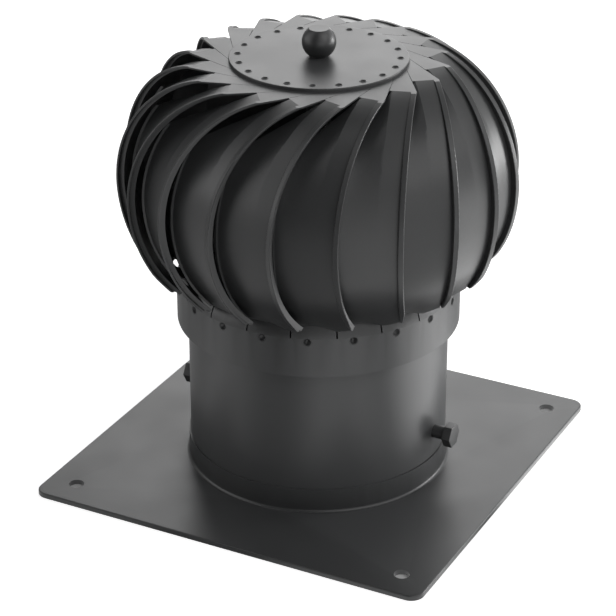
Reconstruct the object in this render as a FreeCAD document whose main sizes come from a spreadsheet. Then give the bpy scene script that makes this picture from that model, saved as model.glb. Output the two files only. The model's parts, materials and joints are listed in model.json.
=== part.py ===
import FreeCAD, Part
import math
import os
import re
import Sketcher

# Rotating chimney cowl: a base plate with a neck tube carries a bearing housing,
# and a basket of bowed vanes turns on it about +Z. Millimetres and degrees.
# The origin is the centre of the plate's underside.

VANE_COUNT = 20

SIZES = {
    # base plate
    "plate_side": 250.0,
    "plate_thick": 3.0,
    "plate_corner": 8.0,
    "plate_edge": 0.8,
    "mount_spacing": 213.0,
    "mount_hole": 9.0,
    "flue_bore": 150.0,
    # neck tube and the collar round its foot
    "neck_dia": 154.0,
    "neck_wall": 1.0,
    "neck_top": 112.0,
    "collar_wall": 1.0,
    "collar_rise": 14.7,
    "collar_foot": 1.8,
    # clamp screws through the neck and their nuts inside it
    "clamp_height": 33.0,
    "clamp_dia": 8.0,
    "clamp_stand": 7.7,
    "clamp_flats": 13.0,
    "clamp_head": 5.3,
    "clamp_length": 26.0,
    "nut_thick": 6.5,
    # bridge across the neck that carries the bearing housing
    "bridge_height": 64.0,
    "bridge_thick": 4.0,
    "bridge_width": 36.0,
    "bridge_lug": 22.0,
    "bridge_hole": 24.0,
    "housing_flange": 54.0,
    "flange_thick": 4.0,
    "housing_dia": 32.0,
    "housing_land": 23.0,
    "housing_rise": 59.0,
    "screw_circle": 43.0,
    "screw_dia": 5.0,
    "screw_head": 8.4,
    "screw_head_rise": 3.2,
    # ball bearings, each an outer and an inner race
    "bearing_bore": 10.0,
    "bearing_dia": 26.0,
    "bearing_width": 8.0,
    "bearing_spread": 40.0,
    "race_dia": 14.8,
    "race_gap": 0.1,
    "clip_thick": 1.2,
    "clip_depth": 0.6,
    "clip_inner": 22.0,
    "clip_gap": 6.0,
    # spindle
    "spindle_dia": 14.0,
    "spindle_tail": 10.0,
    "washer_dia": 18.0,
    "washer_thick": 1.5,
    "lock_flats": 16.0,
    "lock_thick": 7.0,
    "stud_dia": 8.0,
    "hub_dia": 36.0,
    "hub_thick": 3.5,
    # top disc and ball knob
    "disc_dia": 102.0,
    "disc_thick": 2.0,
    "disc_edge": 0.5,
    "disc_height": 253.5,
    "ball_dia": 19.5,
    "ball_rise": 8.5,
    "ball_flat": 11.4,
    "ball_neck": 10.4,
    "ball_depth": 8.0,
    # ring at the foot of the rotor
    "ring_dia": 167.0,
    "ring_wall": 1.0,
    "ring_height": 31.5,
    "ring_top": 126.5,
    "ring_lean": 2.0,
    "slit_depth": 11.5,
    "slit_width": 0.9,
    "slit_turn": 6.5,
    # bowed vane: a rib in a plane beside the axis and a sheet behind it
    "vane_phase": 1.23,
    "vane_sheet": 1.0,
    "belly_reach": 100.2,
    "belly_drop": 69.2,
    "rib_offset": 59.5,
    "rib_width": 3.1,
    "rib_height": 3.2,
    "rib_tip": 2.65,
    "rib_round": 0.4,
    "rib_sheet": 1.3,
    "rib_rise": 5.0,
    "fold_reach": 42.5,
    "shoulder_relief": 1.5,
    "shoulder_rise": 2.7,
    "inner_offset": 22.0,
    "inner_reach": 103.9,
    "inner_drop": 23.5,
    "inner_rise": 0.8,
    "lip_width": 1.4,
    "lip_height": 1.0,
    "foot_inset": 0.2,
    # flap on top of each vane, under the disc
    "flap_gap_turn": 0.5,
    "flap_rim_radius": 51.5,
    "flap_rim_turn": 78.8,
    "flap_bend_radius": 48.0,
    "flap_inner_radius": 39.0,
    # tab at the foot of each vane, behind the ring
    "tab_width": 15.0,
    "tab_drop": 15.5,
    "tab_rise": 2.4,
    # hollow rivets
    "rivet_phase": 4.63,
    "disc_rivet_circle": 92.0,
    "disc_rivet_dia": 3.8,
    "disc_rivet_bore": 2.8,
    "disc_rivet_rim": 5.6,
    "ring_rivet_drop": 9.5,
    "ring_rivet_dia": 4.8,
    "ring_rivet_bore": 3.7,
    "ring_rivet_rim": 6.8,
    "rivet_rim_thick": 0.6,
    "rivet_proud": 0.1,
    # clearances
    "fit_gap": 0.05,
    "sheet_gap": 0.1,
}

PITCH = f"360 / {VANE_COUNT}"


def start_document():
    document = FreeCAD.newDocument("ChimneyCowl")
    cells = document.addObject("Spreadsheet::Sheet", "Sizes")
    for row, (alias, number) in enumerate(SIZES.items(), start=1):
        cells.set(f"A{row}", alias)
        cells.set(f"B{row}", str(number))
        cells.setAlias(f"B{row}", alias)
    document.recompute()
    return document, cells


doc, sheet = start_document()
NAMES = re.compile(r"[a-z]+(?:_[a-z]+)*")


def bound(text):
    """Expression text with each size's name pointed at its cell."""
    return NAMES.sub(lambda name: "Sizes." + name[0] if name[0] in SIZES else name[0], text)


def number(text):
    """Present value of an expression."""
    return float(sheet.evalExpression(bound(text)))


def degrees(text):
    return f"({text}) * 1deg"


def tie(item, prop, text):
    item.setExpression(prop, bound(text))


# Sketch and feature helpers


def new_body(label, turn=None, height=None):
    """Body turned about +Z and lifted along it."""
    body = doc.addObject("PartDesign::Body", label)
    body.Label = label
    if turn is not None:
        body.Placement.Rotation = FreeCAD.Rotation(FreeCAD.Vector(0, 0, 1), number(turn))
        tie(body, "Placement.Rotation.Angle", degrees(turn))
    if height is not None:
        tie(body, "Placement.Base.z", height)
    return body


def origin_feature(body, role):
    return next(item for item in body.Origin.OriginFeatures if item.Role == role)


def new_sketch(body, name, role, offset=None, turn=None, lift=None):
    """Sketch on an origin plane, moved along its normal, turned about +Z or lifted."""
    sketch = body.newObject("Sketcher::SketchObject", name)
    sketch.AttachmentSupport = [(origin_feature(body, role), "")]
    sketch.MapMode = "FlatFace"
    if offset is not None:
        tie(sketch, "AttachmentOffset.Base.z", offset)
    if lift is not None:
        tie(sketch, "AttachmentOffset.Base.y", lift)
    if turn is not None:
        sketch.AttachmentOffset.Rotation = FreeCAD.Rotation(FreeCAD.Vector(0, 1, 0), number(turn))
        tie(sketch, "AttachmentOffset.Rotation.Angle", degrees(turn))
    return sketch


def tie_constraint(sketch, kind, geometry, point, text):
    place = (geometry,) if point is None else (geometry, point)
    index = sketch.addConstraint(Sketcher.Constraint(kind, *place, number(text)))
    tie(sketch, f"Constraints[{index}]", text)


def arc_between(start, end, radius, left):
    """Arc from start to end that turns left or right; sketches keep arcs counter-clockwise."""
    chord = end - start
    middle = (start + end) * 0.5
    side = FreeCAD.Vector(-chord.y, chord.x, 0).normalize()
    depth = math.sqrt(radius**2 - (chord.Length / 2) ** 2)
    centre = middle + side * (depth if left else -depth)
    first, last = (start, end) if left else (end, start)
    angles = [math.atan2(point.y - centre.y, point.x - centre.x) for point in (first, last)]
    circle = Part.Circle(centre, FreeCAD.Vector(0, 0, 1), radius)
    return Part.ArcOfCircle(circle, *angles)


def draw_loop(sketch, corners):
    """Closed outline. A corner is (x, y), or (x, y, radius, "left" or "right") where an arc follows."""
    points = [FreeCAD.Vector(number(corner[0]), number(corner[1]), 0) for corner in corners]
    ends = []
    for index, corner in enumerate(corners):
        start, end = points[index], points[(index + 1) % len(points)]
        if len(corner) == 2:
            edge = sketch.addGeometry(Part.LineSegment(start, end))
            ends.append((edge, 1, 2))
            continue
        left = corner[3] == "left"
        edge = sketch.addGeometry(arc_between(start, end, number(corner[2]), left))
        ends.append((edge, 1, 2) if left else (edge, 2, 1))
    for (edge, _, last), (following, first, _) in zip(ends, ends[1:] + ends[:1]):
        sketch.addConstraint(Sketcher.Constraint("Coincident", edge, last, following, first))
    for (edge, first, _), corner in zip(ends, corners):
        tie_constraint(sketch, "DistanceX", edge, first, corner[0])
        tie_constraint(sketch, "DistanceY", edge, first, corner[1])
        if len(corner) > 2:
            tie_constraint(sketch, "Radius", edge, None, corner[2])


def draw_circle(sketch, x, y, radius):
    centre = FreeCAD.Vector(number(x), number(y), 0)
    circle = sketch.addGeometry(Part.Circle(centre, FreeCAD.Vector(0, 0, 1), number(radius)))
    tie_constraint(sketch, "DistanceX", circle, 3, x)
    tie_constraint(sketch, "DistanceY", circle, 3, y)
    tie_constraint(sketch, "Radius", circle, None, radius)


def pad(body, sketch, length, both_ways=False):
    feature = body.newObject("PartDesign::Pad", sketch.Name + "Pad")
    feature.Profile = sketch
    if both_ways:
        feature.SideType = "Symmetric"
    tie(feature, "Length", length)
    return feature


def cut(body, sketch, both_ways=True):
    """Pocket through everything, or only along the sketch's normal; it has to take volume away."""
    doc.recompute()
    before = body.Shape.Volume
    feature = body.newObject("PartDesign::Pocket", sketch.Name + "Cut")
    feature.Profile = sketch
    feature.Type = "ThroughAll"
    if both_ways:
        feature.SideType = "Symmetric"
    else:
        feature.Reversed = True
    doc.recompute()
    if not body.Shape.Volume < before - 1e-6:
        raise RuntimeError(f"{feature.Label} removes nothing")
    return feature


def repeat_round(body, feature, count):
    pattern = body.newObject("PartDesign::PolarPattern", feature.Name + "Round")
    pattern.Originals = [feature]
    pattern.Axis = (origin_feature(body, "Z_Axis"), [""])
    pattern.Angle = 360
    pattern.Occurrences = count
    body.Tip = pattern
    return pattern


def spin(body, sketch, axis="V_Axis"):
    feature = body.newObject("PartDesign::Revolution", sketch.Name + "Spin")
    feature.Profile = sketch
    feature.ReferenceAxis = (sketch, [axis])
    feature.Angle = 360
    return feature


def turned(label, corners, turn=None):
    """Body of revolution about +Z from an outline of radius and height."""
    body = new_body(label, turn)
    sketch = new_sketch(body, label + "_profile", "XZ_Plane")
    draw_loop(sketch, corners)
    spin(body, sketch)
    return body


def ring_corners(inner, outer, low, high):
    return [(inner, low), (outer, low), (outer, high), (inner, high)]


def hexagon(sketch, flats):
    corner = f"({flats}) / 2 / cos(30deg)"
    draw_loop(sketch, [
        (f"{corner} * cos({angle}deg)", f"{corner} * sin({angle}deg)") for angle in range(0, 360, 60)
    ])


# Heights and radii that several pieces share

NECK_OUTER = "neck_dia / 2"
NECK_INNER = "neck_dia / 2 - neck_wall"
BRIDGE_TOP = "(bridge_height + bridge_thick)"
LOWER_TOP = f"({BRIDGE_TOP} + bearing_width)"
UPPER_FOOT = f"({LOWER_TOP} + bearing_spread)"
UPPER_TOP = f"({UPPER_FOOT} + bearing_width)"
SEAT_RADIUS = "bearing_dia / 2 + fit_gap"
CLIP_RADIUS = "bearing_dia / 2 + clip_depth"
DISC_TOP = "(disc_height + disc_thick)"
SHAFT_SHOULDER = "(disc_height - hub_thick)"
RING_INNER = "(ring_dia / 2 - ring_wall)"
RING_FOOT = "(ring_top - ring_height)"
SLIT_FOOT = "(ring_top - slit_depth)"
RING_RIVET_HEIGHT = "(ring_top - ring_rivet_drop)"


# Stator


def base_plate():
    body = new_body("base_plate")
    half, inset = "plate_side / 2", "(plate_side / 2 - plate_corner)"
    outline = new_sketch(body, "plate_outline", "XY_Plane")
    draw_loop(outline, [
        (inset, f"-{half}", "plate_corner", "left"), (half, f"-{inset}"),
        (half, inset, "plate_corner", "left"), (inset, half),
        (f"-{inset}", half, "plate_corner", "left"), (f"-{half}", inset),
        (f"-{half}", f"-{inset}", "plate_corner", "left"), (f"-{inset}", f"-{half}"),
    ])
    slab = pad(body, outline, "plate_thick")
    doc.recompute()
    top = number("plate_thick")
    rim = [
        f"Edge{index}" for index, edge in enumerate(slab.Shape.Edges, start=1)
        if min(vertex.Z for vertex in edge.Vertexes) > top - 1e-6
    ]
    softened = body.newObject("PartDesign::Fillet", "plate_rim")
    softened.Base = (slab, rim)
    tie(softened, "Radius", "plate_edge")
    flue = new_sketch(body, "plate_flue", "XY_Plane")
    draw_circle(flue, "0", "0", "flue_bore / 2")
    cut(body, flue)
    corner = new_sketch(body, "plate_bolt", "XY_Plane")
    draw_circle(corner, "mount_spacing / 2", "mount_spacing / 2", "mount_hole / 2")
    repeat_round(body, cut(body, corner), 4)
    return body


def base_collar():
    inner = "(neck_dia / 2 + sheet_gap)"
    outer = f"({inner} + collar_wall)"
    foot = "plate_thick"
    return turned("base_collar", [
        (inner, foot),
        (f"{outer} + collar_foot", foot, "collar_foot", "right"),
        (outer, f"{foot} + collar_foot"),
        (outer, f"{foot} + collar_rise"),
        (inner, f"{foot} + collar_rise"),
    ])


def neck_tube():
    body = turned("neck_tube", ring_corners(NECK_INNER, NECK_OUTER, "plate_thick", "neck_top"))
    hole = new_sketch(body, "neck_screw_hole", "YZ_Plane")
    draw_circle(hole, "0", "clamp_height", "clamp_dia / 2 + fit_gap")
    cut(body, hole)
    return body


def clamp_bolt(label, turn):
    """Hex screw along the radius, standing out of the neck."""
    body = new_body(label, turn, "clamp_height")
    head_seat = "(neck_dia / 2 + clamp_stand)"
    head = new_sketch(body, label + "_head", "YZ_Plane", offset=head_seat)
    hexagon(head, "clamp_flats")
    pad(body, head, "clamp_head")
    shank = new_sketch(body, label + "_shank", "YZ_Plane", offset=f"{head_seat} - clamp_length")
    draw_circle(shank, "0", "0", "clamp_dia / 2")
    pad(body, shank, "clamp_length")
    return body


def weld_nut(label, turn):
    """Hex nut against the inside of the neck."""
    body = new_body(label, turn, "clamp_height")
    face = "sqrt((neck_dia / 2 - neck_wall - fit_gap)^2 - (clamp_flats / 2 / cos(30deg))^2)"
    outline = new_sketch(body, label + "_outline", "YZ_Plane", offset=f"{face} - nut_thick")
    hexagon(outline, "clamp_flats")
    pad(body, outline, "nut_thick")
    hole = new_sketch(body, label + "_hole", "YZ_Plane")
    draw_circle(hole, "0", "0", "clamp_dia / 2 + fit_gap")
    cut(body, hole)
    return body


def bearing_bridge():
    """Flat bar across the neck with its ends turned down against the wall."""
    body = new_body("bearing_bridge")
    reach = "sqrt((neck_dia / 2 - neck_wall - fit_gap)^2 - (bridge_width / 2)^2)"
    inside = f"({reach} - bridge_thick)"
    foot = f"({BRIDGE_TOP} - bridge_lug)"
    bar = new_sketch(body, "bridge_bar", "XZ_Plane")
    draw_loop(bar, [
        (f"-{reach}", foot), (f"-{inside}", foot), (f"-{inside}", "bridge_height"),
        (inside, "bridge_height"), (inside, foot), (reach, foot),
        (reach, BRIDGE_TOP), (f"-{reach}", BRIDGE_TOP),
    ])
    pad(body, bar, "bridge_width", both_ways=True)
    hole = new_sketch(body, "bridge_hole_outline", "XY_Plane")
    draw_circle(hole, "0", "0", "bridge_hole / 2")
    cut(body, hole)
    screw = new_sketch(body, "bridge_screw", "XY_Plane")
    draw_circle(screw, "screw_circle / 2", "0", "screw_dia / 2 + fit_gap")
    repeat_round(body, cut(body, screw), 2)
    return body


def bearing_housing():
    """Turned housing with a seat at each end and a groove for the clip."""
    land, outside = "housing_land / 2", "housing_dia / 2"
    top = f"({BRIDGE_TOP} + housing_rise)"
    body = turned("bearing_housing", [
        (SEAT_RADIUS, BRIDGE_TOP),
        ("housing_flange / 2", BRIDGE_TOP),
        ("housing_flange / 2", f"{BRIDGE_TOP} + flange_thick"),
        (outside, f"{BRIDGE_TOP} + flange_thick"),
        (outside, top),
        (SEAT_RADIUS, top),
        (SEAT_RADIUS, f"{UPPER_TOP} + clip_thick + 2 * fit_gap"),
        (CLIP_RADIUS, f"{UPPER_TOP} + clip_thick + 2 * fit_gap"),
        (CLIP_RADIUS, UPPER_TOP),
        (SEAT_RADIUS, UPPER_TOP),
        (SEAT_RADIUS, UPPER_FOOT),
        (land, UPPER_FOOT),
        (land, LOWER_TOP),
        (SEAT_RADIUS, LOWER_TOP),
    ])
    screw = new_sketch(body, "housing_screw", "XY_Plane")
    draw_circle(screw, "screw_circle / 2", "0", "screw_dia / 2 + fit_gap")
    repeat_round(body, cut(body, screw), 2)
    return body


def housing_screws():
    """Pair of cap screws that hold the housing's flange to the bridge."""
    body = new_body("housing_screws")
    body.AllowCompound = True
    seat = f"({BRIDGE_TOP} + flange_thick)"
    shank = new_sketch(body, "screw_shank", "XY_Plane", offset="bridge_height")
    draw_circle(shank, "screw_circle / 2", "0", "screw_dia / 2")
    shanks = pad(body, shank, f"{seat} - bridge_height")
    head = new_sketch(body, "screw_head_outline", "XY_Plane", offset=seat)
    draw_circle(head, "screw_circle / 2", "0", "screw_head / 2")
    heads = pad(body, head, "screw_head_rise")
    repeat_round(body, heads, 2).Originals = [shanks, heads]
    return body


def outer_race(label, foot, top):
    inner = "race_dia / 2 + race_gap"
    return turned(label, ring_corners(inner, "bearing_dia / 2", foot, top))


def housing_clip():
    """Open spring ring over the upper bearing."""
    body = turned("housing_clip", ring_corners(
        "clip_inner / 2", f"{CLIP_RADIUS} - fit_gap",
        f"{UPPER_TOP} + fit_gap", f"{UPPER_TOP} + fit_gap + clip_thick",
    ))
    mouth = new_sketch(body, "clip_mouth", "XY_Plane")
    half = "clip_gap / 2"
    draw_loop(mouth, [
        ("0", f"-{half}"), ("bearing_dia", f"-{half}"), ("bearing_dia", half), ("0", half),
    ])
    cut(body, mouth)
    return body


# Rotor


def spindle():
    """Shaft with a seat for the bearings below and a stud for the knob above."""
    seat, stud = "bearing_bore / 2 - fit_gap", "stud_dia / 2"
    return turned("spindle", [
        ("0", f"{BRIDGE_TOP} - spindle_tail"),
        (seat, f"{BRIDGE_TOP} - spindle_tail"),
        (seat, UPPER_TOP),
        ("spindle_dia / 2", UPPER_TOP),
        ("spindle_dia / 2", SHAFT_SHOULDER),
        (stud, SHAFT_SHOULDER),
        (stud, f"{DISC_TOP} + ball_depth"),
        ("0", f"{DISC_TOP} + ball_depth"),
    ])


def inner_race(label, foot, top):
    return turned(label, ring_corners("bearing_bore / 2", "race_dia / 2", foot, top))


def lock_nut():
    """Hex nut that draws the inner races and their sleeve together."""
    top = f"({BRIDGE_TOP} - washer_thick)"
    body = new_body("lock_nut")
    outline = new_sketch(body, "lock_outline", "XY_Plane", offset=f"{top} - lock_thick")
    hexagon(outline, "lock_flats")
    pad(body, outline, "lock_thick")
    hole = new_sketch(body, "lock_hole", "XY_Plane")
    draw_circle(hole, "0", "0", "bearing_bore / 2")
    cut(body, hole)
    return body


def top_disc():
    edge = "disc_edge"
    rim = "disc_dia / 2"
    bore = "stud_dia / 2 + fit_gap"
    body = turned("top_disc", [
        (bore, "disc_height"), (rim, "disc_height"),
        (rim, f"{DISC_TOP} - {edge}", edge, "left"), (f"{rim} - {edge}", DISC_TOP),
        (bore, DISC_TOP),
    ], "rivet_phase")
    hole = new_sketch(body, "disc_rivet_hole", "XY_Plane")
    draw_circle(hole, "disc_rivet_circle / 2", "0", "disc_rivet_dia / 2 + fit_gap")
    repeat_round(body, cut(body, hole), VANE_COUNT)
    return body


def ball_knob():
    """Ball with a flat top and a short neck, screwed on the spindle's stud."""
    centre = f"({DISC_TOP} + ball_rise)"
    radius, flat, neck = "(ball_dia / 2)", "(ball_flat / 2)", "(ball_neck / 2)"
    bore = "stud_dia / 2 + fit_gap"
    depth = f"{DISC_TOP} + ball_depth + fit_gap"
    return turned("ball_knob", [
        (bore, DISC_TOP),
        (neck, DISC_TOP),
        (neck, f"{centre} - sqrt({radius}^2 - {neck}^2)", radius, "left"),
        (radius, centre, radius, "left"),
        (flat, f"{centre} + sqrt({radius}^2 - {flat}^2)"),
        ("0", f"{centre} + sqrt({radius}^2 - {flat}^2)"),
        ("0", depth),
        (bore, depth),
    ])


def rotor_ring():
    """Skirt round the neck; its top leans in and is slit between the rivets."""
    outer = "(ring_dia / 2)"
    body = turned("rotor_ring", [
        (RING_INNER, RING_FOOT), (outer, RING_FOOT), (outer, SLIT_FOOT),
        (f"{outer} - ring_lean", "ring_top"), (f"{RING_INNER} - ring_lean", "ring_top"),
        (RING_INNER, SLIT_FOOT),
    ], "rivet_phase")
    slit = new_sketch(body, "ring_slit", "YZ_Plane", turn="-slit_turn")
    half = "slit_width / 2"
    draw_loop(slit, [
        (f"-{half}", SLIT_FOOT), (half, SLIT_FOOT),
        (half, "ring_top + slit_width"), (f"-{half}", "ring_top + slit_width"),
    ])
    repeat_round(body, cut(body, slit, both_ways=False), VANE_COUNT)
    doc.recompute()
    hole = new_sketch(body, "ring_rivet_hole", "YZ_Plane")
    draw_circle(hole, "0", RING_RIVET_HEIGHT, "ring_rivet_dia / 2 + fit_gap")
    repeat_round(body, cut(body, hole, both_ways=False), VANE_COUNT)
    return body


# Vane, in a frame with x outwards, y along the rib's offset and z up.
# The rib's arcs and the sheet's arcs meet at the belly's height.

FACE_REACH = "(belly_reach - rib_height)"
FACE_OFFSET = "(rib_offset - rib_width)"
RISE = "belly_drop"
BELLY = "(disc_height - belly_drop)"
INNER_FOOT = "(ring_top + inner_rise)"
RIB_FOOT = "(ring_top + rib_rise)"
FLAP_TURN = f"({PITCH} - flap_gap_turn)"
RIVET_TURN = "(rivet_phase - vane_phase)"
DISC_RIVET_TURN = f"({RIVET_TURN} + 4 * {PITCH})"
TAB_TURN = f"({RIVET_TURN} + {PITCH})"


def arc_radius(depth, rise):
    """Radius of an arc that starts upright and moves in by depth over this rise."""
    return f"((({depth})^2 + ({rise})^2) / (2 * ({depth})))"


def fold_radius(reach):
    """Upper arc from the belly to the fold."""
    return arc_radius(f"{reach} - fold_reach", RISE)


INNER_FOOT_REACH = "sqrt((ring_dia / 2 - foot_inset)^2 - inner_offset^2)"
RIB_UPPER = arc_radius("belly_reach - fold_reach - rib_tip", RISE)
UPPER_CENTRE = f"(belly_reach - {RIB_UPPER})"
INNER_LOWER = arc_radius(f"inner_reach - {INNER_FOOT_REACH}", f"{BELLY} - {INNER_FOOT}")
LOWER_CENTRE = f"(inner_reach - {INNER_LOWER})"
RIB_LOWER = f"(belly_reach - {LOWER_CENTRE})"


def on_arc(reach, radius, inset, height):
    """Distance out of a point at this height, on an arc that passes the belly at this reach."""
    return f"({reach} - {radius} + sqrt(({radius} - {inset})^2 - ({height} - {BELLY})^2))"


def sheet_corners(reach, upper, top, foot):
    """Section of the sheet across its width: two arcs outside and two inside."""
    lower = f"({reach} - {LOWER_CENTRE})"
    return [
        (on_arc(reach, lower, "0", foot), foot, lower, "left"),
        (reach, BELLY, upper, "left"),
        (on_arc(reach, upper, "0", top), top),
        (on_arc(reach, upper, "vane_sheet", f"({top} - vane_sheet)"), f"{top} - vane_sheet",
         f"{upper} - vane_sheet", "right"),
        (f"{reach} - vane_sheet", BELLY, f"{lower} - vane_sheet", "right"),
        (on_arc(reach, lower, "vane_sheet", foot), foot),
    ]


def polar(radius, turn):
    return f"{radius} * cos({degrees(turn)})", f"{radius} * sin({degrees(turn)})"


def flap_fold_end():
    """Offset where the neighbouring flap's edge crosses this vane's fold."""
    turn = degrees(FLAP_TURN)
    tip_x = f"(fold_reach * cos({turn}) + rib_offset * sin({turn}))"
    tip_y = f"(rib_offset * cos({turn}) - fold_reach * sin({turn}))"
    rim_x, rim_y = polar("flap_rim_radius", f"flap_rim_turn - {FLAP_TURN}")
    return f"({rim_y} + (fold_reach - {rim_x}) / ({tip_x} - {rim_x}) * ({tip_y} - {rim_y}))"


def flap_corners():
    """Flap between its own edge and the same edge of the vane beside it."""
    inner_turn = f"{DISC_RIVET_TURN} + {PITCH} / 2"
    edge = [
        ("flap_rim_radius", "flap_rim_turn"),
        ("flap_bend_radius", inner_turn),
        ("flap_inner_radius", inner_turn),
    ]
    own = [polar(radius, turn) for radius, turn in edge]
    beside = [polar(radius, f"{turn} - {FLAP_TURN}") for radius, turn in reversed(edge)]
    return [("fold_reach", flap_fold_end()), ("fold_reach", "rib_offset")] + own + beside


def flat_behind(radius):
    """Distance out of a flat tab that clears the inside of a ring of this radius."""
    return f"(sqrt(({radius} - fit_gap)^2 - (tab_width / 2)^2) - sheet_gap)"


def rib_flange_corners():
    """Flange along the rib's outside, from the flap down to the foot."""
    end = f"({BELLY} + sqrt(({RIB_UPPER} - rib_sheet)^2 - (fold_reach - {UPPER_CENTRE})^2))"
    return [
        (on_arc("belly_reach", RIB_LOWER, "0", RIB_FOOT), RIB_FOOT, RIB_LOWER, "left"),
        ("belly_reach", BELLY, RIB_UPPER, "left"),
        ("fold_reach + rib_tip", "disc_height"),
        ("fold_reach", "disc_height"),
        ("fold_reach", end, f"{RIB_UPPER} - rib_sheet", "right"),
        ("belly_reach - rib_sheet", BELLY, f"{RIB_LOWER} - rib_sheet", "right"),
        (on_arc("belly_reach", RIB_LOWER, "rib_sheet", RIB_FOOT), RIB_FOOT),
    ]


def lip_corners():
    """Hemmed lip along the sheet's inner edge."""
    top = "(disc_height - inner_drop)"
    outer, inner = "(inner_reach + lip_height)", "(inner_reach - vane_sheet / 2)"
    upper, lower = f"({outer} - {UPPER_CENTRE})", f"({outer} - {LOWER_CENTRE})"
    depth = "(lip_height + vane_sheet / 2)"
    return [
        (on_arc(outer, lower, "0", INNER_FOOT), INNER_FOOT, lower, "left"),
        (outer, BELLY, upper, "left"),
        (on_arc(outer, upper, "0", top), top),
        (on_arc(outer, upper, depth, top), top, f"{upper} - {depth}", "right"),
        (inner, BELLY, f"{lower} - {depth}", "right"),
        (on_arc(outer, lower, depth, INNER_FOOT), INNER_FOOT),
    ]


def rib_step_corners():
    """Step from the sheet's outer edge out to the rib's flange."""
    fold = fold_radius(FACE_REACH)
    lower = f"({FACE_REACH} - {LOWER_CENTRE})"
    return [
        (on_arc("belly_reach", RIB_LOWER, "0", RIB_FOOT), RIB_FOOT, RIB_LOWER, "left"),
        ("belly_reach", BELLY, RIB_UPPER, "left"),
        ("fold_reach + rib_tip", "disc_height"),
        ("fold_reach", "disc_height"),
        (on_arc(FACE_REACH, fold, "vane_sheet", "(disc_height - vane_sheet)"), "disc_height - vane_sheet",
         f"{fold} - vane_sheet", "right"),
        (f"{FACE_REACH} - vane_sheet", BELLY, f"{lower} - vane_sheet", "right"),
        (on_arc(FACE_REACH, lower, "vane_sheet", RIB_FOOT), RIB_FOOT),
    ]


def tab_corners():
    """Tab that drops behind the ring from the sheet's foot, in the plane of its rivet."""
    low, high = flat_behind(RING_INNER), flat_behind(f"({RING_INNER} - ring_lean)")
    foot = "(ring_top - tab_drop)"
    top = f"({INNER_FOOT} + tab_rise)"
    reach = f"sqrt(inner_offset^2 + ({on_arc('inner_reach', INNER_LOWER, '0', top)})^2)"
    return [
        (f"{low} - vane_sheet", foot), (low, foot), (low, SLIT_FOOT), (high, INNER_FOOT),
        (reach, top), (f"{reach} - vane_sheet", f"{top} + vane_sheet / 2"),
        (f"{high} - vane_sheet", f"{INNER_FOOT} + vane_sheet / 2"), (f"{low} - vane_sheet", SLIT_FOOT),
    ]


def soften_rib(body, label, rib):
    """Round both long edges on the rib's outside."""
    doc.recompute()
    outside = (number("belly_reach"), number(BELLY))
    edges = []
    for index, edge in enumerate(rib.Shape.Edges, start=1):
        ends = [vertex.Point for vertex in edge.Vertexes]
        at_belly = [math.dist((end.x, end.z), outside) < 1e-4 for end in ends]
        level = abs(ends[0].y - ends[-1].y) < 1e-4
        if any(at_belly) and level:
            edges.append(f"Edge{index}")
    if len(edges) != 4:
        raise RuntimeError(f"{label} has {len(edges)} long rib edges")
    rounded = body.newObject("PartDesign::Fillet", label + "_rib_round")
    rounded.Base = (rib, edges)
    tie(rounded, "Radius", "rib_round")


def vane(label, place):
    """One bowed vane: lofted sheet, stepped rib, hemmed lip, top flap, foot tab and their rivet holes."""
    body = new_body(label, f"vane_phase + {place} * {PITCH}")
    shoulder = f"({flap_fold_end()} + shoulder_relief)"
    slope = f"((inner_reach - {FACE_REACH}) / ({FACE_OFFSET} - inner_offset))"
    shoulder_reach = f"({FACE_REACH} + ({FACE_OFFSET} - {shoulder}) * {slope})"
    stations = [
        (FACE_OFFSET, FACE_REACH, fold_radius(FACE_REACH), "disc_height", RIB_FOOT),
        (shoulder, shoulder_reach, fold_radius(shoulder_reach), "disc_height", "(ring_top + shoulder_rise)"),
        ("inner_offset", "inner_reach", f"(inner_reach - {UPPER_CENTRE})",
         "(disc_height - inner_drop)", INNER_FOOT),
    ]
    sections = []
    for index, (offset, reach, upper, top, foot) in enumerate(stations):
        section = new_sketch(body, f"{label}_section_{index}", "XZ_Plane", offset=f"-({offset})")
        draw_loop(section, sheet_corners(reach, upper, top, foot))
        sections.append(section)
    web = body.newObject("PartDesign::AdditiveLoft", label + "_sheet")
    web.Profile = sections[0]
    web.Sections = sections[1:]
    web.Ruled = True
    step = new_sketch(body, label + "_rib_step", "XZ_Plane", offset=f"-({FACE_OFFSET} + vane_sheet)")
    draw_loop(step, rib_step_corners())
    pad(body, step, "vane_sheet")
    flange = new_sketch(body, label + "_rib_flange", "XZ_Plane", offset="-rib_offset")
    draw_loop(flange, rib_flange_corners())
    soften_rib(body, label, pad(body, flange, "rib_width"))
    lip = new_sketch(body, label + "_lip", "XZ_Plane", offset="-(inner_offset + lip_width)")
    draw_loop(lip, lip_corners())
    pad(body, lip, "lip_width")
    flap = new_sketch(body, label + "_flap", "XY_Plane", offset="disc_height - vane_sheet")
    draw_loop(flap, flap_corners())
    pad(body, flap, "vane_sheet")
    tab = new_sketch(body, label + "_tab", "XZ_Plane", turn=TAB_TURN)
    draw_loop(tab, tab_corners())
    pad(body, tab, "tab_width", both_ways=True)
    disc_hole = new_sketch(body, label + "_disc_hole", "XY_Plane")
    draw_circle(disc_hole, *polar("disc_rivet_circle / 2", DISC_RIVET_TURN), "disc_rivet_dia / 2 + fit_gap")
    cut(body, disc_hole)
    ring_hole = new_sketch(body, label + "_ring_hole", "YZ_Plane", turn=TAB_TURN)
    draw_circle(ring_hole, "0", RING_RIVET_HEIGHT, "ring_rivet_dia / 2 + fit_gap")
    cut(body, ring_hole, both_ways=False)
    return body


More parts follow.
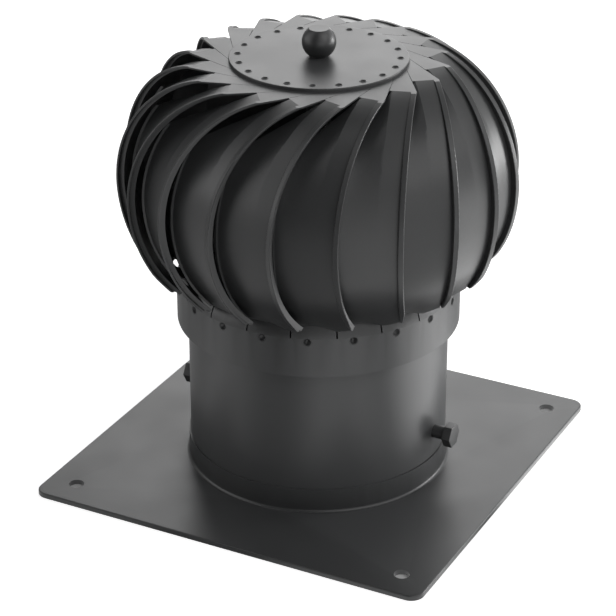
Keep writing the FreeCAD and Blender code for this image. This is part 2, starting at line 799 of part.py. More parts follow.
def hollow_rivets(label, role, axis, reach, bore, barrel, rim, low, high):
    """Hollow rivets round the rotor, each spread behind the sheets and flush in front."""
    body = new_body(label, "rivet_phase")
    body.AllowCompound = True
    outline = [
        (bore, f"{low} - rivet_rim_thick"), (rim, f"{low} - rivet_rim_thick"), (rim, low),
        (barrel, low), (barrel, high), (bore, high),
    ]
    if axis == "H_Axis":
        profile = new_sketch(body, label + "_profile", role, lift=reach)
        draw_loop(profile, [(along, across) for across, along in outline])
    else:
        profile = new_sketch(body, label + "_profile", role)
        profile.AttachmentOffset = FreeCAD.Placement(FreeCAD.Vector(number(reach), 0, 0), FreeCAD.Rotation())
        tie(profile, "AttachmentOffset.Base.x", reach)
        draw_loop(profile, outline)
    repeat_round(body, spin(body, profile, axis), VANE_COUNT)
    return body


def disc_rivets():
    return hollow_rivets(
        "disc_rivets", "XZ_Plane", "V_Axis", "disc_rivet_circle / 2",
        "disc_rivet_bore / 2", "disc_rivet_dia / 2", "disc_rivet_rim / 2",
        "(disc_height - vane_sheet)", f"{DISC_TOP} + rivet_proud",
    )


def ring_rivets():
    lean = "ring_lean * (slit_depth - ring_rivet_drop + ring_rivet_rim / 2) / (slit_depth + inner_rise)"
    tab_back = f"({flat_behind(RING_INNER)} - vane_sheet - {lean} - fit_gap)"
    return hollow_rivets(
        "ring_rivets", "XZ_Plane", "H_Axis", RING_RIVET_HEIGHT,
        "ring_rivet_bore / 2", "ring_rivet_dia / 2", "ring_rivet_rim / 2",
        tab_back, "ring_dia / 2 + rivet_proud",
    )


def build():
    pieces = [
        base_plate(),
        base_collar(),
        neck_tube(),
        clamp_bolt("clamp_bolt_right", "0"),
        clamp_bolt("clamp_bolt_left", "180"),
        weld_nut("weld_nut_right", "0"),
        weld_nut("weld_nut_left", "180"),
        bearing_bridge(),
        bearing_housing(),
        housing_screws(),
        outer_race("lower_outer_race", BRIDGE_TOP, LOWER_TOP),
        outer_race("upper_outer_race", UPPER_FOOT, UPPER_TOP),
        housing_clip(),
        spindle(),
        inner_race("lower_inner_race", BRIDGE_TOP, LOWER_TOP),
        inner_race("upper_inner_race", UPPER_FOOT, UPPER_TOP),
        turned("spacer_sleeve", ring_corners("bearing_bore / 2", "spindle_dia / 2", LOWER_TOP, UPPER_FOOT)),
        turned("lock_washer", ring_corners(
            "bearing_bore / 2", "washer_dia / 2", f"{BRIDGE_TOP} - washer_thick", BRIDGE_TOP,
        )),
        lock_nut(),
        turned("hub_washer", ring_corners(
            "stud_dia / 2 + fit_gap", "hub_dia / 2", SHAFT_SHOULDER, "disc_height",
        )),
        top_disc(),
        ball_knob(),
        rotor_ring(),
        disc_rivets(),
        ring_rivets(),
    ]
    pieces += [vane(f"vane_{place + 1:02d}", place) for place in range(VANE_COUNT)]
    return pieces


def check_and_write(pieces):
    doc.recompute()
    for item in doc.Objects:
        if "Invalid" in item.State or "Error" in item.State:
            raise RuntimeError(f"{item.Label} failed: {item.State}")
    for piece in pieces:
        if piece.Shape.isNull() or not piece.Shape.isValid():
            raise RuntimeError(f"{piece.Label} has no valid shape")
    os.makedirs("parts", exist_ok=True)
    for piece in pieces:
        piece.Shape.exportStep(os.path.join("parts", piece.Label + ".step"))
        print(piece.Label, "solids", len(piece.Shape.Solids), "volume", round(piece.Shape.Volume, 1))


check_and_write(build())
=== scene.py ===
"""Rotating chimney cowl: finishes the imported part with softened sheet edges, hollow rivets and a powder coat."""

import json
import math

import bmesh
import bpy
from bpy.props import FloatProperty, FloatVectorProperty, IntProperty, PointerProperty
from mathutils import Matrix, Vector


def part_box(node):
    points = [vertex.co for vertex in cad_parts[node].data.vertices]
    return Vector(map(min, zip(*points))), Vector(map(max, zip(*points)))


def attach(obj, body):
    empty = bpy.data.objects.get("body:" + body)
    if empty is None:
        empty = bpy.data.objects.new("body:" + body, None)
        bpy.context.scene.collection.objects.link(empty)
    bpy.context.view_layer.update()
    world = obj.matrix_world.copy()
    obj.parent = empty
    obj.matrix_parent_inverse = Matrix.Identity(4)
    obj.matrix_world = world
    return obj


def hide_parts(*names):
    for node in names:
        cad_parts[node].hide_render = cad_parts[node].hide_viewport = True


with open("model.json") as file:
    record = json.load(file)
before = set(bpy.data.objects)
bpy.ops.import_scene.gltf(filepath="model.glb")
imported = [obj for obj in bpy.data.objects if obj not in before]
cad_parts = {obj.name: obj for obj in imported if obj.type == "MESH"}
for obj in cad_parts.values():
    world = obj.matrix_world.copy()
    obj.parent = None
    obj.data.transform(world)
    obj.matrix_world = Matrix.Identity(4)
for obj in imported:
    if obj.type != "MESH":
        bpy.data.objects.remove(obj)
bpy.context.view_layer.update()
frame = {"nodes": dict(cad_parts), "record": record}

bl_info = {
    "name": "Rotating Chimney Cowl",
    "version": (1, 0, 0),
    "blender": (4, 5, 0),
    "location": "3D View > Sidebar > Cowl",
    "description": "Dresses a rotating chimney cowl and sets up its studio",
    "category": "Object",
}

VANES = sorted(name for name in frame["nodes"] if name.startswith("vane_"))
PITCH = math.tau / len(VANES)
VANE_TURN = math.radians(1.23)
RIVET_TURN = math.radians(4.63)
SLIT_TURN = math.radians(-1.87)

# Edges steeper than these stay crisp, the second on the folds of the flaps
SHARP_ANGLE = math.radians(24)
FOLD_ANGLE = math.radians(12)
FOLDS_FROM = 0.235
SAME_PLACE = 1e-6

# Ears of the ring: height of the slit part, height of the bent part, lean and half a slit's width
EAR_HEIGHT = 0.0115
EAR_BEND = 0.0075
EAR_PLAIN_LEAN = 0.002
SLIT_REACH = 0.0006

# Foot of a vane: level and depth of its hanging part, and offsets along the sheet
FOOT_LEVEL = 0.14
FOOT_DEPTH = 0.0095
SCALLOP_FROM = 0.036
SCALLOP_RUN = 0.013
RIB_FROM = 0.0563
TAB_RADIUS = 0.0855

# Studio: strips have an azimuth from the camera, a half width and a strength
FLOOR_STRIPS = ((-72, 32, 0.6), (16, 36, 1.05), (85, 35, 2.6))
SKY_STRIPS = ((-88, 40, 1.9), (28, 50, 1.2), (107, 42, 1.8), (172, 60, 0.8))
LIGHT_DISTANCE = 1.6
LIGHTS = (
    # name, azimuth from the camera, elevation, size, power
    ("back_softbox", 172, 27, 1.3, 8.5),
    ("right_softbox", 105, 10, 0.5, 10),
    ("front_softbox", 52, 50, 1.3, 6),
)
LIGHT_AIM = Vector((0, 0, 0.13))
FLOOR_HALF = 15.0
FLOOR_LEVEL = -0.0002
PLATE_COVER = 0.118
WHITE = (1, 1, 1, 1)


# Settings


class CowlFinish(bpy.types.PropertyGroup):
    """Colours and gloss of the coat and of the bare steel inside."""

    coat_color: FloatVectorProperty(
        name="Coat colour", description="Anthracite powder coat", subtype="COLOR",
        size=3, min=0, max=1, default=(0.040, 0.041, 0.042),
    )
    coat_roughness: FloatProperty(
        name="Coat roughness", description="Satin gloss of the powder coat", subtype="FACTOR",
        min=0, max=1, default=0.38,
    )
    coat_grain: FloatProperty(
        name="Coat grain", description="Height of the orange-peel texture", subtype="DISTANCE",
        unit="LENGTH", min=0, default=0.00003,
    )
    steel_color: FloatVectorProperty(
        name="Steel colour", description="Zinc-plated steel of the bearing parts", subtype="COLOR",
        size=3, min=0, max=1, default=(0.52, 0.53, 0.54),
    )


class CowlDetail(bpy.types.PropertyGroup):
    """Sizes of the small forms that the dressed part adds."""

    screw_round: FloatProperty(
        name="Screw edge", description="Rounding of the screw heads' edges", subtype="DISTANCE",
        unit="LENGTH", min=0, default=0.0004,
    )
    rivet_count: IntProperty(
        name="Rivets", description="Rivets in each circle", min=1, default=len(VANES),
    )
    rivet_roll: FloatProperty(
        name="Rivet roll", description="Thickness of a rivet's rolled rim", subtype="DISTANCE",
        unit="LENGTH", min=0, default=0.0005,
    )
    ear_lean: FloatProperty(
        name="Ear lean", description="How far the ring's ears bend in", subtype="DISTANCE",
        unit="LENGTH", min=0, default=0.0027,
    )
    foot_drop: FloatProperty(
        name="Foot drop", description="How far a vane's foot hangs down beside its rib", subtype="DISTANCE",
        unit="LENGTH", min=0, default=0.0036,
    )


class CowlStudio(bpy.types.PropertyGroup):
    """Camera and light."""

    azimuth: FloatProperty(
        name="Azimuth", description="Camera's turn about the axis", subtype="ANGLE",
        unit="ROTATION", default=math.radians(27.23),
    )
    elevation: FloatProperty(
        name="Elevation", description="Camera's height angle", subtype="ANGLE",
        unit="ROTATION", default=math.radians(26.80),
    )
    distance: FloatProperty(
        name="Distance", description="Camera to aim point", subtype="DISTANCE",
        unit="LENGTH", default=1.4092,
    )
    aim_height: FloatProperty(
        name="Aim height", description="Height of the aim point", subtype="DISTANCE",
        unit="LENGTH", default=0.0965,
    )
    aim_side: FloatProperty(
        name="Aim side", description="Aim point's move to the camera's right", subtype="DISTANCE",
        unit="LENGTH", default=-0.0062,
    )
    fill: FloatProperty(
        name="Fill", description="Level of the sky's soft fill", min=0, default=0.25,
    )
    lens: FloatProperty(
        name="Lens", description="Focal length", subtype="DISTANCE_CAMERA",
        unit="CAMERA", default=138.97,
    )


# Materials


def new_material(name):
    material = bpy.data.materials.new(name)
    material.use_nodes = True
    return material, material.node_tree.nodes, material.node_tree.links


def wired(nodes, links, operation, *inputs, kind="ShaderNodeMath"):
    """Result of a math node whose inputs are linked or given."""
    node = nodes.new(kind)
    node.operation = operation
    for socket, given in zip(node.inputs, inputs):
        if isinstance(given, bpy.types.NodeSocket):
            links.new(given, socket)
        else:
            socket.default_value = given
    return node.outputs["Value" if operation == "DOT_PRODUCT" else 0]


def noise(nodes, links, coordinates, scale, detail):
    texture = nodes.new("ShaderNodeTexNoise")
    texture.inputs["Scale"].default_value = scale
    texture.inputs["Detail"].default_value = detail
    links.new(coordinates, texture.inputs["Vector"])
    return texture.outputs["Fac"]


def ranged(nodes, links, source, start, end, low=0.0, high=1.0, curve="LINEAR"):
    """Source between start and end spread over low to high."""
    spread = nodes.new("ShaderNodeMapRange")
    spread.interpolation_type = curve
    for name, given in (("From Min", start), ("From Max", end), ("To Min", low), ("To Max", high)):
        spread.inputs[name].default_value = given
    links.new(source, spread.inputs["Value"])
    return spread.outputs["Result"]


def two_tone(nodes, links, source, stops):
    """Colour that runs between two stops, each a position and a colour."""
    ramp = nodes.new("ShaderNodeValToRGB")
    for element, (position, color) in zip(ramp.color_ramp.elements, stops):
        element.position = position
        element.color = (*color, 1)
    links.new(source, ramp.inputs["Fac"])
    return ramp.outputs["Color"]


def grained(nodes, links, shader, source, strength, distance):
    """Bump from source on the shader's normal."""
    bump = nodes.new("ShaderNodeBump")
    bump.inputs["Strength"].default_value = strength
    bump.inputs["Distance"].default_value = distance
    links.new(source, bump.inputs["Height"])
    links.new(bump.outputs["Normal"], shader.inputs["Normal"])


def powder_coat():
    """Satin anthracite coat: faint mottling, orange-peel grain and sharp edges painted a little lighter as a
    highlight.
    """
    finish = bpy.context.scene.cowl_finish
    material, nodes, links = new_material("anthracite_powder_coat")
    shader = nodes["Principled BSDF"]
    place = nodes.new("ShaderNodeTexCoord").outputs["Object"]
    cloud = noise(nodes, links, place, 24.0, 4.0)
    speck = noise(nodes, links, place, 900.0, 2.0)
    peel = noise(nodes, links, place, 1400.0, 3.0)
    pointiness = nodes.new("ShaderNodeNewGeometry").outputs["Pointiness"]
    mottle = wired(nodes, links, "MULTIPLY_ADD", speck, 0.35, wired(nodes, links, "MULTIPLY", cloud, 0.65))
    color = Vector(finish.coat_color)
    # Painted highlight: where the mesh is pointy, the coat colour is lifted 1.6 times to stand in for light catching
    # the edges
    painted_edge_highlight = nodes.new("ShaderNodeMix")
    painted_edge_highlight.data_type = "RGBA"
    painted_edge_highlight.inputs["B"].default_value = (*(color * 1.6), 1)
    links.new(ranged(nodes, links, pointiness, 0.52, 0.62), painted_edge_highlight.inputs["Factor"])
    links.new(two_tone(nodes, links, mottle, ((0.3, color * 0.88), (0.7, color * 1.12))), painted_edge_highlight.inputs["A"])
    links.new(painted_edge_highlight.outputs["Result"], shader.inputs["Base Color"])
    rough = ranged(nodes, links, cloud, 0.3, 0.7, finish.coat_roughness - 0.04, finish.coat_roughness + 0.04)
    links.new(rough, shader.inputs["Roughness"])
    grained(nodes, links, shader, peel, 0.25, finish.coat_grain)
    shader.inputs["Specular IOR Level"].default_value = 0.5
    return material


def plated_steel():
    """Zinc-plated steel with turning marks along the axis."""
    finish = bpy.context.scene.cowl_finish
    material, nodes, links = new_material("zinc_plated_steel")
    shader = nodes["Principled BSDF"]
    place = nodes.new("ShaderNodeTexCoord").outputs["Object"]
    turning = nodes.new("ShaderNodeMapping")
    turning.inputs["Scale"].default_value = (40.0, 40.0, 2500.0)
    links.new(place, turning.inputs["Vector"])
    marks = noise(nodes, links, turning.outputs["Vector"], 1.0, 2.0)
    spangle = noise(nodes, links, place, 180.0, 2.0)
    color = Vector(finish.steel_color)
    links.new(two_tone(nodes, links, spangle, ((0.35, color * 0.82), (0.65, color))), shader.inputs["Base Color"])
    shader.inputs["Metallic"].default_value = 1.0
    links.new(ranged(nodes, links, marks, 0.3, 0.7, 0.28, 0.42), shader.inputs["Roughness"])
    grained(nodes, links, shader, marks, 0.2, 0.00002)
    return material


def shared_material(name, maker):
    return bpy.data.materials.get(name) or maker()


def coat_material():
    return shared_material("anthracite_powder_coat", powder_coat)


def steel_material():
    return shared_material("zinc_plated_steel", plated_steel)


# Meshes


def add_object(name, data):
    piece = bpy.data.objects.new(name, data)
    bpy.context.scene.collection.objects.link(piece)
    return piece


def plain_mesh(piece):
    """Swap a piece's modifiers for the mesh they make."""
    bpy.context.view_layer.update()
    made = bpy.data.meshes.new_from_object(piece.evaluated_get(bpy.context.evaluated_depsgraph_get()))
    piece.modifiers.clear()
    piece.data = made
    return piece


def press_ears(ring):
    """Bend the ring's ears in above their rivets, with short slits between them."""
    lean = bpy.context.scene.cowl_detail.ear_lean
    top = max(vert.co.z for vert in ring.verts)
    foot, bend = top - EAR_HEIGHT, top - EAR_BEND
    for step in range(7):
        bmesh.ops.bisect_plane(
            ring, geom=[*ring.verts, *ring.edges, *ring.faces], plane_co=(0, 0, bend + step * 0.001),
            plane_no=(0, 0, 1),
        )
    for vert in ring.verts:
        rise = vert.co.z - foot
        if rise < -SAME_PLACE:
            continue
        radius = vert.co.xy.length + EAR_PLAIN_LEAN * rise / EAR_HEIGHT
        turn = math.atan2(vert.co.y, vert.co.x)
        from_slit = (turn - SLIT_TURN + PITCH / 2) % PITCH - PITCH / 2
        if abs(from_slit) * radius < SLIT_REACH:
            vert.co.z = max(vert.co.z, bend)
        radius -= lean * max(0.0, (vert.co.z - bend) / EAR_BEND) ** 1.5
        vert.co.xy = radius * math.cos(turn), radius * math.sin(turn)
    bmesh.ops.remove_doubles(ring, verts=ring.verts, dist=SAME_PLACE)
    bmesh.ops.dissolve_degenerate(ring, edges=ring.edges, dist=SAME_PLACE)


def hang_foot(vane):
    """Let the foot of a vane hang in a soft scallop that is lowest beside its rib, and taper the rib's end."""
    drop = bpy.context.scene.cowl_detail.foot_drop
    up = Vector((0, 0, 1))
    out = Vector((math.cos(VANE_TURN), math.sin(VANE_TURN), 0))
    along = Vector((-math.sin(VANE_TURN), math.cos(VANE_TURN), 0))
    for millimetres in range(36, 57, 2):
        low = [face for face in vane.faces if min(vert.co.z for vert in face.verts) < FOOT_LEVEL]
        near = {part for face in low for part in (face, *face.edges, *face.verts)}
        bmesh.ops.bisect_plane(vane, geom=list(near), plane_co=along * millimetres / 1000, plane_no=along)
    for vert in vane.verts:
        offset = vert.co.dot(along)
        if vert.co.z > FOOT_LEVEL or vert.co.xy.length < TAB_RADIUS or offset < SCALLOP_FROM:
            continue
        ramp = min(1.0, (offset - SCALLOP_FROM) / SCALLOP_RUN)
        share = ramp * ramp * (3 - 2 * ramp) * (FOOT_LEVEL - vert.co.z) / FOOT_DEPTH
        inward = 0.5
        if offset > RIB_FROM:
            vert.co -= along * (offset - RIB_FROM) * 0.65 * share
            share, inward = share * 0.5, 1.3
        vert.co -= (up + out * inward) * drop * share
    bmesh.ops.dissolve_degenerate(vane, edges=vane.edges, dist=SAME_PLACE)


def smoothed(name, nodes, round_width=0.0, reshape=None, fold_from=math.inf, flatness=100):
    """Joined copy of CAD nodes with smooth curved faces, true flats and, where asked, rounded edges.

    Soft folds above the height fold_from stay crisp.
    """
    mesh = bpy.data.meshes.new(name)
    shape = bmesh.new()
    for node in nodes:
        shape.from_mesh(frame["nodes"][node].data)
    bmesh.ops.remove_doubles(shape, verts=shape.verts, dist=SAME_PLACE)
    if reshape:
        reshape(shape)
    if round_width:
        bmesh.ops.dissolve_limit(
            shape, angle_limit=math.radians(0.3), verts=shape.verts, edges=shape.edges, delimit=set(),
        )
    for edge in shape.edges:
        limit = FOLD_ANGLE if min(vert.co.z for vert in edge.verts) > fold_from else SHARP_ANGLE
        edge.smooth = edge.calc_face_angle(math.pi) < limit
    shape.to_mesh(mesh)
    shape.free()
    mesh.shade_smooth()
    piece = add_object(name, mesh)
    if round_width:
        rounding = piece.modifiers.new("Rounding", "BEVEL")
        rounding.width = round_width
        rounding.segments = 3
        rounding.limit_method = "ANGLE"
        rounding.angle_limit = math.radians(32)
    flats = piece.modifiers.new("True flats", "WEIGHTED_NORMAL")
    flats.mode = "FACE_AREA"
    flats.weight = flatness
    flats.keep_sharp = not round_width
    return plain_mesh(piece)


def dress(piece, body, material, nodes):
    piece.data.materials.clear()
    piece.data.materials.append(material)
    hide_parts(*nodes)
    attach(piece, body)
    return piece


# Geometry node trees


class NodeTree:
    """Small helper for building a geometry node tree with named inputs."""

    def __init__(self, name):
        self.tree = bpy.data.node_groups.new(name, "GeometryNodeTree")
        self.tree.interface.new_socket("Geometry", in_out="INPUT", socket_type="NodeSocketGeometry")
        self.tree.interface.new_socket("Geometry", in_out="OUTPUT", socket_type="NodeSocketGeometry")
        self.identifiers = {}
        self.entry = self.tree.nodes.new("NodeGroupInput")

    def value(self, name, kind):
        socket = self.tree.interface.new_socket(name, in_out="INPUT", socket_type=kind)
        self.identifiers[name] = socket.identifier
        return name

    def add(self, kind, settings=None, **inputs):
        """Node with its properties set and its inputs linked or given."""
        node = self.tree.nodes.new(kind)
        for key, setting in (settings or {}).items():
            setattr(node, key, setting)
        for key, given in inputs.items():
            socket = next(s for s in node.inputs if s.name == key.replace("_", " ") and s.enabled)
            self.feed(socket, given)
        return node

    def feed(self, socket, given):
        if isinstance(given, str):
            self.tree.links.new(self.entry.outputs[given], socket)
        elif isinstance(given, bpy.types.NodeSocket):
            self.tree.links.new(given, socket)
        else:
            socket.default_value = given

    def finish(self, geometry):
        realized = self.add("GeometryNodeRealizeInstances", Geometry=geometry)
        painted = self.add("GeometryNodeSetMaterial", Geometry=realized.outputs[0], Material="Material")
        leave = self.tree.nodes.new("NodeGroupOutput")
        self.tree.links.new(painted.outputs[0], leave.inputs[0])
        return self


def run_tree(piece, tree, values):
    """Give a piece the tree's result as its plain mesh."""
    modifier = piece.modifiers.new("Pattern", "NODES")
    modifier.node_group = tree.tree
    for name, setting in values.items():
        modifier[tree.identifiers[name]] = setting
    return plain_mesh(piece)


def round_the_axis_tree():
    """Turned copies of a piece about +Z."""
    tree = NodeTree("Copies round the axis")
    tree.value("Count", "NodeSocketInt")
    tree.value("Material", "NodeSocketMaterial")
    index = tree.add("GeometryNodeInputIndex")
    step = tree.add("ShaderNodeMath", {"operation": "DIVIDE"})
    step.inputs[0].default_value = math.tau
    tree.feed(step.inputs[1], "Count")
    angle = tree.add("ShaderNodeMath", {"operation": "MULTIPLY"})
    tree.feed(angle.inputs[0], index.outputs[0])
    tree.feed(angle.inputs[1], step.outputs[0])
    turn = tree.add("ShaderNodeCombineXYZ", Z=angle.outputs[0])
    places = tree.add("GeometryNodePoints", Count="Count")
    copies = tree.add(
        "GeometryNodeInstanceOnPoints", Points=places.outputs[0], Instance="Geometry", Rotation=turn.outputs[0],
    )
    return tree.finish(copies.outputs[0])


def rivet_circle_tree():
    """Hollow rivets on a circle about +Z, each a rolled rim round a dimple."""
    tree = NodeTree("Hollow rivets")
    for name in ("Circle", "Height", "Rim", "Roll", "Depth", "Phase"):
        tree.value(name, "NodeSocketFloat")
    tree.value("Count", "NodeSocketInt")
    tree.value("Facing Out", "NodeSocketBool")
    tree.value("Material", "NodeSocketMaterial")
    loop = tree.add("GeometryNodeCurvePrimitiveCircle", Resolution=20, Radius="Rim")
    half_roll = tree.add("ShaderNodeMath", {"operation": "MULTIPLY"})
    tree.feed(half_roll.inputs[0], "Roll")
    half_roll.inputs[1].default_value = 0.5
    section = tree.add("GeometryNodeCurvePrimitiveCircle", Resolution=8, Radius=half_roll.outputs[0])
    rim = tree.add("GeometryNodeCurveToMesh", Curve=loop.outputs[0], Profile_Curve=section.outputs[0])
    foot = tree.add("ShaderNodeMath", {"operation": "MULTIPLY"})
    tree.feed(foot.inputs[0], "Rim")
    foot.inputs[1].default_value = 0.45
    dimple = tree.add(
        "GeometryNodeMeshCone", {"fill_type": "NGON"},
        Vertices=20, Radius_Top="Rim", Radius_Bottom=foot.outputs[0], Depth="Depth",
    )
    drop = tree.add("ShaderNodeMath", {"operation": "MULTIPLY"})
    tree.feed(drop.inputs[0], "Depth")
    drop.inputs[1].default_value = -1.0
    sunk_by = tree.add("ShaderNodeCombineXYZ", Z=drop.outputs[0])
    top_face = tree.add("FunctionNodeCompare", {"data_type": "FLOAT", "operation": "GREATER_THAN"})
    normal = tree.add("GeometryNodeInputNormal")
    parts = tree.add("ShaderNodeSeparateXYZ", Vector=normal.outputs[0])
    tree.feed(top_face.inputs[0], parts.outputs["Z"])
    top_face.inputs[1].default_value = 0.5
    dish = tree.add(
        "GeometryNodeDeleteGeometry", {"domain": "FACE"},
        Geometry=dimple.outputs["Mesh"], Selection=top_face.outputs[0],
    )
    inside = tree.add("GeometryNodeFlipFaces", Mesh=dish.outputs[0])
    sunk = tree.add("GeometryNodeTransform", Geometry=inside.outputs[0], Translation=sunk_by.outputs[0])
    rivet = tree.tree.nodes.new("GeometryNodeJoinGeometry")
    for part in (rim.outputs[0], sunk.outputs[0]):
        tree.tree.links.new(part, rivet.inputs[0])
    smooth = tree.add("GeometryNodeSetShadeSmooth", Geometry=rivet.outputs[0])
    circle = tree.add("GeometryNodeMeshCircle", Vertices="Count", Radius="Circle")
    lift = tree.add("ShaderNodeCombineXYZ", Z="Height")
    phase = tree.add("ShaderNodeCombineXYZ", Z="Phase")
    placed = tree.add(
        "GeometryNodeTransform", Geometry=circle.outputs["Mesh"], Translation=lift.outputs[0],
        Rotation=phase.outputs[0],
    )
    position = tree.add("GeometryNodeInputPosition")
    flat = tree.add("ShaderNodeVectorMath", {"operation": "MULTIPLY"})
    tree.feed(flat.inputs[0], position.outputs[0])
    flat.inputs[1].default_value = (1, 1, 0)
    facing = tree.add("FunctionNodeAlignEulerToVector", {"axis": "Z"}, Vector=flat.outputs[0], Factor=1.0)
    turn = tree.add("GeometryNodeSwitch", {"input_type": "VECTOR"}, Switch="Facing Out")
    tree.feed(turn.inputs["True"], facing.outputs[0])
    copies = tree.add(
        "GeometryNodeInstanceOnPoints", Points=placed.outputs[0], Instance=smooth.outputs[0],
        Rotation=turn.outputs[0],
    )
    return tree.finish(copies.outputs[0])


# Operators


class COWL_OT_shell(bpy.types.Operator):
    """Coat the plate, the collar, the neck, the ring and the disc with its knob"""

    bl_idname = "cowl.shell"
    bl_label = "Coated Shell"

    def execute(self, context):
        for body, node in (
            ("stator", "base_plate"), ("stator", "base_collar"), ("stator", "neck_tube"),
            ("rotor", "rotor_ring"), ("rotor", "top_disc"), ("rotor", "ball_knob"),
        ):
            piece = smoothed(node + "_coated", [node], reshape=press_ears if node == "rotor_ring" else None)
            dress(piece, body, coat_material(), [node])
        return {"FINISHED"}


class COWL_OT_vanes(bpy.types.Operator):
    """Hang the foot of one bowed vane and set copies of it round the axis"""

    bl_idname = "cowl.vanes"
    bl_label = "Bowed Vanes"

    def execute(self, context):
        basket = smoothed("vane_basket", VANES[:1], reshape=hang_foot, fold_from=FOLDS_FROM, flatness=50)
        run_tree(basket, round_the_axis_tree(), {"Count": len(VANES), "Material": coat_material()})
        dress(basket, "rotor", coat_material(), VANES)
        return {"FINISHED"}


class COWL_OT_rivets(bpy.types.Operator):
    """Set the hollow rivets in the disc and in the ring"""

    bl_idname = "cowl.rivets"
    bl_label = "Hollow Rivets"

    def execute(self, context):
        detail = context.scene.cowl_detail
        tree = rivet_circle_tree()
        low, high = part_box("disc_rivets")
        ring_low, ring_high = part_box("ring_rivets")
        for name, node, circle, height, rim, depth, outward in (
            ("disc_rivet_rims", "disc_rivets", 0.046, high.z - 0.0001, 0.0018, 0.0012, False),
            ("ring_rivet_rims", "ring_rivets", 0.0831, (ring_low.z + ring_high.z) / 2, 0.0022, 0.0022, True),
        ):
            piece = add_object(name, bpy.data.meshes.new(name))
            run_tree(piece, tree, {
                "Circle": circle, "Height": height, "Rim": rim, "Roll": detail.rivet_roll, "Depth": depth,
                "Phase": RIVET_TURN, "Count": detail.rivet_count, "Facing Out": outward, "Material": coat_material(),
            })
            dress(piece, "rotor", coat_material(), [node])
        return {"FINISHED"}


class COWL_OT_screws(bpy.types.Operator):
    """Round the clamp screws' heads"""

    bl_idname = "cowl.screws"
    bl_label = "Clamp Screws"

    def execute(self, context):
        for node in ("clamp_bolt_right", "clamp_bolt_left"):
            piece = smoothed(node + "_coated", [node], context.scene.cowl_detail.screw_round)
            dress(piece, "stator", coat_material(), [node])
        return {"FINISHED"}


class COWL_OT_bearings(bpy.types.Operator):
    """Give the bearing parts inside the neck their plated steel"""

    bl_idname = "cowl.bearings"
    bl_label = "Bearing Parts"

    def execute(self, context):
        plated = [row["node"] for row in frame["record"]["subparts"] if row["material_slot"] == "plain_steel"]
        for node in plated:
            node_object = frame["nodes"][node]
            if not node_object.material_slots:
                node_object.data.materials.append(None)
            for material_slot in node_object.material_slots:
                material_slot.material = steel_material()
        return {"FINISHED"}


class COWL_OT_stage(bpy.types.Operator):
    """Set up the pale floor, the soft lights and the camera"""

    bl_idname = "cowl.stage"
    bl_label = "Studio"

    def execute(self, context):
        studio = context.scene.cowl_studio
        add_floor(studio)
        set_world(studio)
        add_lights(studio)
        add_camera(studio)
        context.scene.view_settings.view_transform = "Standard"
        return {"FINISHED"}


# Studio


def view_direction(azimuth, elevation):
    return Vector((
        math.sin(azimuth) * math.cos(elevation), -math.cos(azimuth) * math.cos(elevation), math.sin(elevation),
    ))


def look_at(thing, target):
    thing.rotation_euler = (target - thing.location).to_track_quat("-Z", "Y").to_euler()


def bright_strips(nodes, links, direction, turn, strips):
    """Soft upright strips round the horizon, each with its azimuth, half width and strength."""
    vector = "ShaderNodeVectorMath"
    level = wired(nodes, links, "MULTIPLY", direction, (1, 1, 0), kind=vector)
    around = wired(nodes, links, "NORMALIZE", level, kind=vector)
    total = 0.0
    for azimuth, half_width, strength in strips:
        middle = view_direction(turn + math.radians(azimuth), 0)
        facing = wired(nodes, links, "DOT_PRODUCT", around, middle, kind=vector)
        rim = math.cos(math.radians(half_width))
        strip = ranged(nodes, links, facing, rim, 1.0, 0.0, strength, "SMOOTHSTEP")
        total = wired(nodes, links, "ADD", strip, total)
    return total


def add_floor(studio):
    """Pale floor: white to the camera beside the plate, with the studio's strips in reflections."""
    floor = add_object("floor", bpy.data.meshes.new("floor"))
    signs = ((-1, -1), (1, -1), (1, 1), (-1, 1))
    corners = [(x * FLOOR_HALF, y * FLOOR_HALF, FLOOR_LEVEL) for x, y in signs]
    floor.data.from_pydata(corners, [], [(0, 1, 2, 3)])
    material, nodes, links = new_material("pale_floor")
    shader = nodes["Principled BSDF"]
    shader.inputs["Base Color"].default_value = (0.8, 0.8, 0.8, 1)
    shader.inputs["Roughness"].default_value = 0.9
    shader.inputs["Emission Color"].default_value = WHITE
    place = nodes.new("ShaderNodeTexCoord").outputs["Object"]
    path = nodes.new("ShaderNodeLightPath").outputs
    sides = nodes.new("ShaderNodeSeparateXYZ")
    links.new(wired(nodes, links, "ABSOLUTE", place, kind="ShaderNodeVectorMath"), sides.inputs[0])
    reach = wired(nodes, links, "MAXIMUM", sides.outputs["X"], sides.outputs["Y"])
    beside = wired(nodes, links, "GREATER_THAN", reach, PLATE_COVER)
    seen = wired(nodes, links, "MULTIPLY", path["Is Camera Ray"], beside)
    strips = bright_strips(nodes, links, place, studio.azimuth, FLOOR_STRIPS)
    mirrored = wired(nodes, links, "MULTIPLY", path["Is Glossy Ray"], strips)
    glow = wired(nodes, links, "MULTIPLY_ADD", seen, 0.75, mirrored)
    links.new(glow, shader.inputs["Emission Strength"])
    floor.data.materials.append(material)


def background(nodes, strength):
    shade = nodes.new("ShaderNodeBackground")
    shade.inputs["Color"].default_value = WHITE
    shade.inputs["Strength"].default_value = strength
    return shade


def mixed(nodes, links, factor, first, second):
    mix = nodes.new("ShaderNodeMixShader")
    for socket, source in zip(mix.inputs, (factor, first, second)):
        links.new(source, socket)
    return mix.outputs[0]


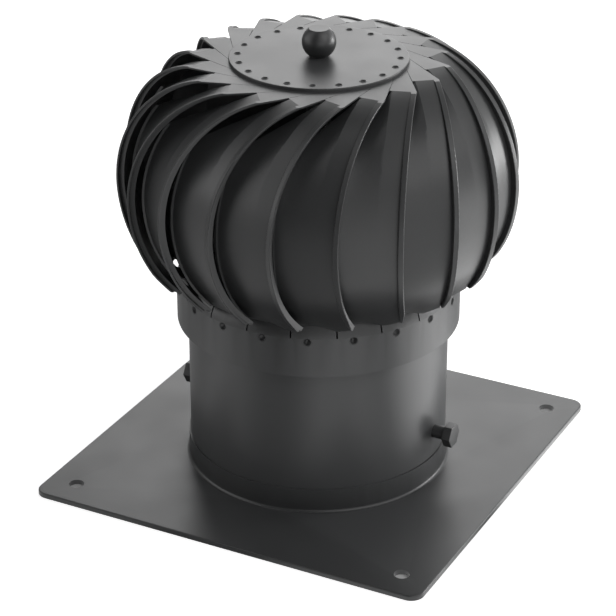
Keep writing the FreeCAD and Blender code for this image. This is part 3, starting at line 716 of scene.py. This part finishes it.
def set_world(studio):
    """White to the camera; reflections see strips of light that fade overhead."""
    world = bpy.data.worlds.new("studio_sky")
    bpy.context.scene.world = world
    world.use_nodes = True
    nodes, links = world.node_tree.nodes, world.node_tree.links
    fill = nodes["Background"]
    fill.inputs["Color"].default_value = WHITE
    fill.inputs["Strength"].default_value = studio.fill
    seen = background(nodes, 1.0)
    mirrored = background(nodes, 1.0)
    place = nodes.new("ShaderNodeTexCoord").outputs["Generated"]
    strips = bright_strips(nodes, links, place, studio.azimuth, SKY_STRIPS)
    split = nodes.new("ShaderNodeSeparateXYZ")
    links.new(place, split.inputs[0])
    height = ranged(nodes, links, split.outputs["Z"], 0.1, 0.75, 1.0, 0.5)
    level = wired(nodes, links, "MULTIPLY", wired(nodes, links, "ADD", strips, 0.12), height)
    links.new(level, mirrored.inputs["Strength"])
    path = nodes.new("ShaderNodeLightPath").outputs
    gloss = wired(nodes, links, "MAXIMUM", path["Is Glossy Ray"], path["Is Transmission Ray"])
    reflected = mixed(nodes, links, gloss, fill.outputs[0], mirrored.outputs[0])
    whole = mixed(nodes, links, path["Is Camera Ray"], reflected, seen.outputs[0])
    links.new(whole, nodes["World Output"].inputs["Surface"])


def add_lights(studio):
    for name, azimuth, elevation, size, power in LIGHTS:
        data = bpy.data.lights.new(name, "AREA")
        data.shape = "DISK"
        data.size = size
        data.energy = power
        lamp = add_object(name, data)
        lamp.location = view_direction(
            studio.azimuth + math.radians(azimuth), math.radians(elevation),
        ) * LIGHT_DISTANCE
        look_at(lamp, LIGHT_AIM)


def add_camera(studio):
    data = bpy.data.cameras.new("camera")
    data.lens = studio.lens
    data.sensor_width = 36
    camera = add_object("camera", data)
    right = Vector((math.cos(studio.azimuth), math.sin(studio.azimuth), 0))
    target = Vector((0, 0, studio.aim_height)) + right * studio.aim_side
    camera.location = target + view_direction(studio.azimuth, studio.elevation) * studio.distance
    look_at(camera, target)
    bpy.context.scene.camera = camera


class COWL_PT_panel(bpy.types.Panel):
    """Lists the cowl's operators and settings"""

    bl_idname = "COWL_PT_panel"
    bl_label = "Chimney Cowl"
    bl_space_type = "VIEW_3D"
    bl_region_type = "UI"
    bl_category = "Cowl"

    def draw(self, context):
        for operator in OPERATORS:
            self.layout.operator(operator.bl_idname)
        for group in (context.scene.cowl_finish, context.scene.cowl_detail, context.scene.cowl_studio):
            for name in group.bl_rna.properties.keys():
                if name not in {"rna_type", "name"}:
                    self.layout.prop(group, name)


OPERATORS = (COWL_OT_shell, COWL_OT_vanes, COWL_OT_rivets, COWL_OT_screws, COWL_OT_bearings, COWL_OT_stage)
GROUPS = {"cowl_finish": CowlFinish, "cowl_detail": CowlDetail, "cowl_studio": CowlStudio}
CLASSES = (*GROUPS.values(), *OPERATORS, COWL_PT_panel)


def register():
    for entry in CLASSES:
        bpy.utils.register_class(entry)
    for name, group in GROUPS.items():
        setattr(bpy.types.Scene, name, PointerProperty(type=group))


def unregister():
    for name in GROUPS:
        delattr(bpy.types.Scene, name)
    for entry in reversed(CLASSES):
        bpy.utils.unregister_class(entry)


def main():
    register()
    bpy.ops.cowl.shell()
    bpy.ops.cowl.vanes()
    bpy.ops.cowl.rivets()
    bpy.ops.cowl.screws()
    bpy.ops.cowl.bearings()
    bpy.ops.cowl.stage()


if __name__ == "__main__":
    main()
